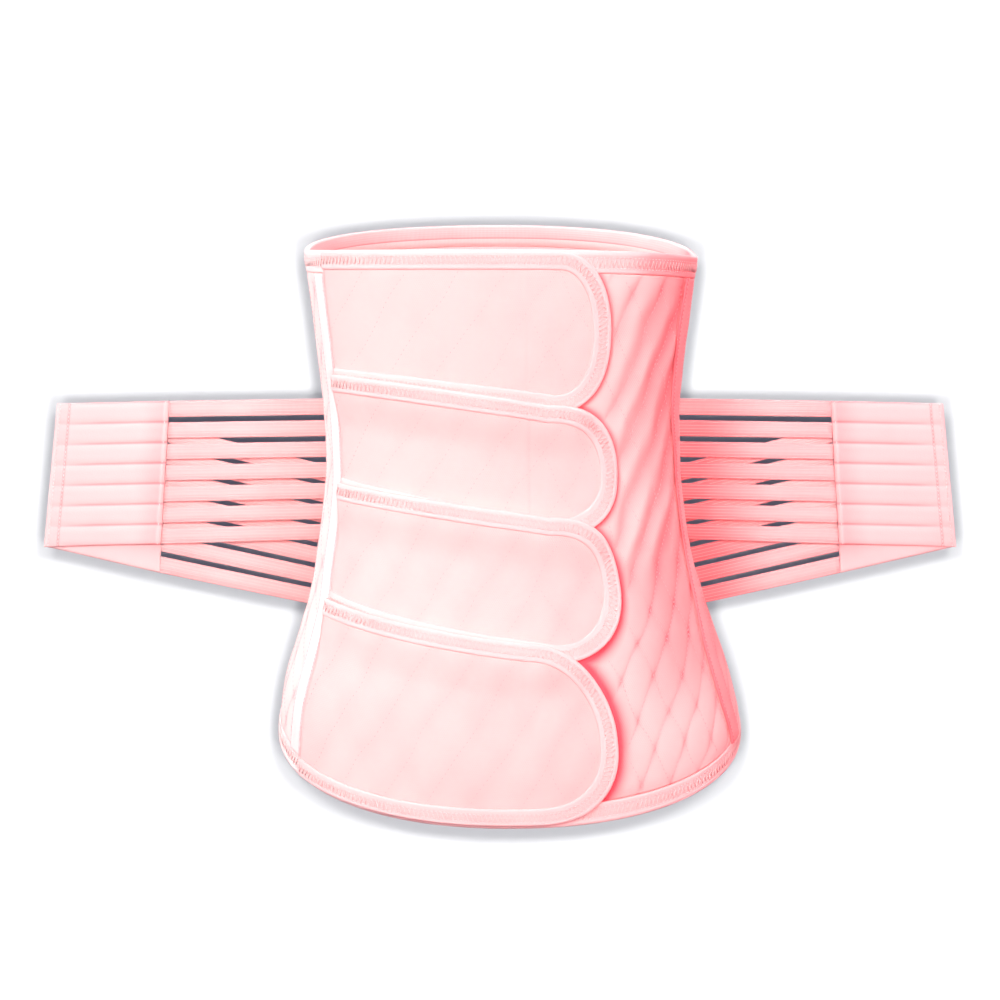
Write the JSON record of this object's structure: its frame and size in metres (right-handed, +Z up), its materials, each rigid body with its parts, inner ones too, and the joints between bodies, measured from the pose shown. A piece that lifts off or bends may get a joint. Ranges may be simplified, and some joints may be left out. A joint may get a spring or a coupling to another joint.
{
  "type": "abdominal binder",
  "caption": "Quilted torso binder with rounded overlapping front flaps and two side wings of crossing elastic strips that end in fastening tabs.",
  "frame": {"origin": "middle of the waist, inside the wrap, at the narrowest level", "axes": "+Z up along the torso, -Y out of the front with the flaps, +X to the right as seen from the front, along the wings"},
  "size_m": [0.6072, 0.2174, 0.3539],
  "materials": {
    "quilt": "diamond-quilted knitted cloth, matt, pale coral pink",
    "binding": "knitted stretch binding, cover-stitched, matt",
    "tape": "narrow stitched seam tape, matt",
    "elastic": "ribbed woven elastic, slight sheen",
    "tab": "soft brushed laminated cloth, matt"
  },
  "bodies": {
    "root": {"front_panel": "quilt", "right_side_panel": "quilt", "back_panel": "quilt", "left_side_panel": "quilt", "top_binding": "binding", "bottom_binding": "binding", "left_seam_tape": "tape", "right_seam_tape": "tape", "right_back_tape": "tape", "left_back_tape": "tape", "flap_1": "quilt", "flap_1_binding": "binding", "flap_2": "quilt", "flap_2_binding": "binding", "flap_3": "quilt", "flap_3_binding": "binding", "flap_4": "quilt", "flap_4_binding": "binding", "right_upper_strip_1": "elastic", "right_upper_strip_2": "elastic", "right_upper_strip_3": "elastic", "right_upper_strip_4": "elastic", "right_upper_strip_5": "elastic", "right_upper_strip_6": "elastic", "right_upper_strip_7": "elastic", "right_lower_strip_1": "elastic", "right_lower_strip_2": "elastic", "right_lower_strip_3": "elastic", "right_lower_strip_4": "elastic", "right_lower_strip_5": "elastic", "right_lower_strip_6": "elastic", "right_lower_strip_7": "elastic", "right_tab_front": "tab", "right_tab_back": "tab", "left_upper_strip_1": "elastic", "left_upper_strip_2": "elastic", "left_upper_strip_3": "elastic", "left_upper_strip_4": "elastic", "left_upper_strip_5": "elastic", "left_upper_strip_6": "elastic", "left_upper_strip_7": "elastic", "left_lower_strip_1": "elastic", "left_lower_strip_2": "elastic", "left_lower_strip_3": "elastic", "left_lower_strip_4": "elastic", "left_lower_strip_5": "elastic", "left_lower_strip_6": "elastic", "left_lower_strip_7": "elastic", "left_tab_front": "tab", "left_tab_back": "tab"}
  },
  "joints": []
}
